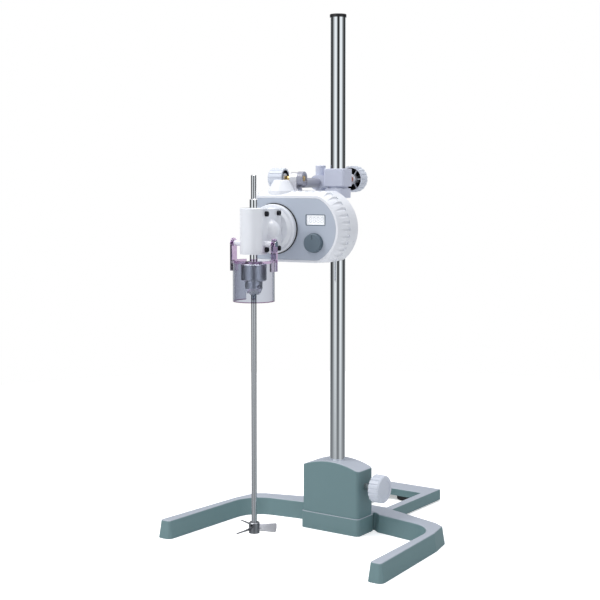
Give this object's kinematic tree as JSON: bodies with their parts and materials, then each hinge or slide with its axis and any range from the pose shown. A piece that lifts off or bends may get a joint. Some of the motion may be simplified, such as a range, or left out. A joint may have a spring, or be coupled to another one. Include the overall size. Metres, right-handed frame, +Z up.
{
  "type": "overhead stirrer",
  "caption": "Overhead stirrer: a motor head with keyed chuck, guarded shaft and propeller, clamped to a column on a forked base.",
  "frame": {"origin": "on the column's axis at the bench, under the column socket", "axes": "+Z up along the column, -Y forward over the vessel, +X to the right"},
  "size_m": [0.4068, 0.4786, 0.812],
  "materials": {
    "casting": "satin grey-green paint",
    "chrome": "polished",
    "steel": "turned",
    "blackened": "black oxide",
    "brass": "turned",
    "clamp_metal": "satin",
    "dark_metal": "satin",
    "white_metal": "white enamel",
    "white_plastic": "gloss",
    "panel": "satin",
    "slate_plastic": "satin",
    "grey_plastic": "satin",
    "black_plastic": "matt",
    "rubber": "matt",
    "clear": "clear",
    "guard": "transparent tinted plastic",
    "board": "solder mask"
  },
  "bodies": {
    "stand": {"base_legs": "casting", "column_socket": "casting", "rear_frame": "casting", "leg_feet": "rubber", "rear_foot": "rubber", "base_screws": "blackened", "frame_screws": "blackened", "column": "chrome", "column_cap": "black_plastic"},
    "base_knob": {"base_knob": "grey_plastic", "base_knob_stud": "steel"},
    "collar": {"height_collar": "clamp_metal", "collar_screw": "blackened"},
    "clamp": {"clamp_body": "clamp_metal", "clamp_pad": "brass", "arm": "dark_metal", "arm_screw": "blackened", "tilt_nut": "blackened"},
    "clamp_knob": {"clamp_knob": "grey_plastic", "clamp_screw": "steel"},
    "tilt_knob": {"tilt_knob": "grey_plastic", "tilt_bolt": "brass"},
    "head": {"head_bracket": "clamp_metal", "front_panel": "panel", "housing_front": "white_plastic", "housing_rear": "white_plastic", "housing_screws": "blackened", "bracket_cover": "white_plastic", "display_window": "clear", "display_board": "board", "speed_control": "black_plastic", "control_board": "board", "power_socket": "black_plastic", "socket_contacts": "brass", "switch_frame": "black_plastic", "motor": "steel", "gear_case": "white_metal", "gear_cover": "white_metal", "gear_cover_screws": "blackened", "upper_bearing": "steel", "lower_bearing": "steel", "guard_pivots": "steel"},
    "speed_knob": {"speed_knob": "slate_plastic"},
    "power_switch": {"power_switch": "black_plastic"},
    "rotor": {"motor_shaft": "steel", "pinion": "steel"},
    "spindle": {"spindle": "chrome", "spindle_gear": "steel", "chuck_body": "steel"},
    "sleeve": {"chuck_sleeve": "steel"},
    "jaw_a": {"chuck_jaw_a": "steel"},
    "jaw_b": {"chuck_jaw_b": "steel"},
    "jaw_c": {"chuck_jaw_c": "steel"},
    "tool": {"stirring_shaft": "steel", "propeller": "steel", "propeller_screw": "blackened"},
    "guard": {"chuck_guard": "guard"}
  },
  "joints": [
    {"name": "base_knob_turn", "type": "hinge", "parent": "stand", "child": "base_knob", "pos_m": [0, 0, 0.075], "axis": [1, 0, 0], "range_deg": [0, 720]},
    {"name": "height_slide", "type": "slide", "parent": "stand", "child": "collar", "axis": [0, 0, 1], "range_m": [-0.005, 0.22]},
    {"name": "clamp_swing", "type": "hinge", "parent": "collar", "child": "clamp", "pos_m": [0, 0, 0.55], "axis": [0, 0, 1], "range_deg": [-60, 60]},
    {"name": "clamp_knob_turn", "type": "hinge", "parent": "clamp", "child": "clamp_knob", "pos_m": [-0.01001, 0.05916, 0.555], "axis": [-0.1668, 0.986, 0], "range_deg": [0, 720]},
    {"name": "tilt_knob_turn", "type": "hinge", "parent": "clamp", "child": "tilt_knob", "pos_m": [-0.05768, -0.07872, 0.557], "axis": [-0.986, -0.1668, 0], "range_deg": [0, 720]},
    {"name": "head_tilt", "type": "hinge", "parent": "clamp", "child": "head", "pos_m": [-0.02958, -0.07397, 0.557], "axis": [-0.986, -0.1668, 0], "range_deg": [0, 30]},
    {"name": "speed_knob_turn", "type": "hinge", "parent": "head", "child": "speed_knob", "pos_m": [0.0362, -0.12167, 0.462], "axis": [-0.1668, 0.986, 0], "range_deg": [0, 270]},
    {"name": "power_switch_rock", "type": "hinge", "parent": "head", "child": "power_switch", "pos_m": [0.02809, -0.05813, 0.5], "axis": [0.986, 0.1668, 0], "range_deg": [0, 10]},
    {"name": "spindle_spin", "type": "hinge", "parent": "head", "child": "spindle", "pos_m": [-0.01672, -0.19857, 0.482], "axis": [0, 0, 1], "continuous": true},
    {"name": "motor_spin", "type": "hinge", "parent": "head", "child": "rotor", "pos_m": [-0.02722, -0.13645, 0.482], "axis": [-0.1668, 0.986, 0], "continuous": true},
    {"name": "chuck_sleeve_turn", "type": "hinge", "parent": "spindle", "child": "sleeve", "pos_m": [-0.01672, -0.19857, 0.42], "axis": [0, 0, 1], "range_deg": [0, 720]},
    {"name": "tool_slide", "type": "slide", "parent": "spindle", "child": "tool", "axis": [0, 0, 1], "range_m": [0, 0.15]},
    {"name": "guard_swing", "type": "hinge", "parent": "head", "child": "guard", "pos_m": [-0.01672, -0.19857, 0.4635], "axis": [-0.986, -0.1668, 0], "range_deg": [0, 85]},
    {"name": "jaw_a_slide", "type": "slide", "parent": "spindle", "child": "jaw_a", "axis": [0.1994, 0.165, 0.9659], "range_m": [0, 0.003]},
    {"name": "jaw_b_slide", "type": "slide", "parent": "spindle", "child": "jaw_b", "axis": [-0.2426, 0.0902, 0.9659], "range_m": [0, 0.003]},
    {"name": "jaw_c_slide", "type": "slide", "parent": "spindle", "child": "jaw_c", "axis": [0.0432, -0.2552, 0.9659], "range_m": [0, 0.003]}
  ],
  "couplings": [
    {"joint": "motor_spin", "follows": "spindle_spin", "ratio": 2},
    {"joint": "jaw_a_slide", "follows": "chuck_sleeve_turn", "m_per_rad": 0.00023871},
    {"joint": "jaw_b_slide", "follows": "chuck_sleeve_turn", "m_per_rad": 0.00023871},
    {"joint": "jaw_c_slide", "follows": "chuck_sleeve_turn", "m_per_rad": 0.00023871}
  ]
}
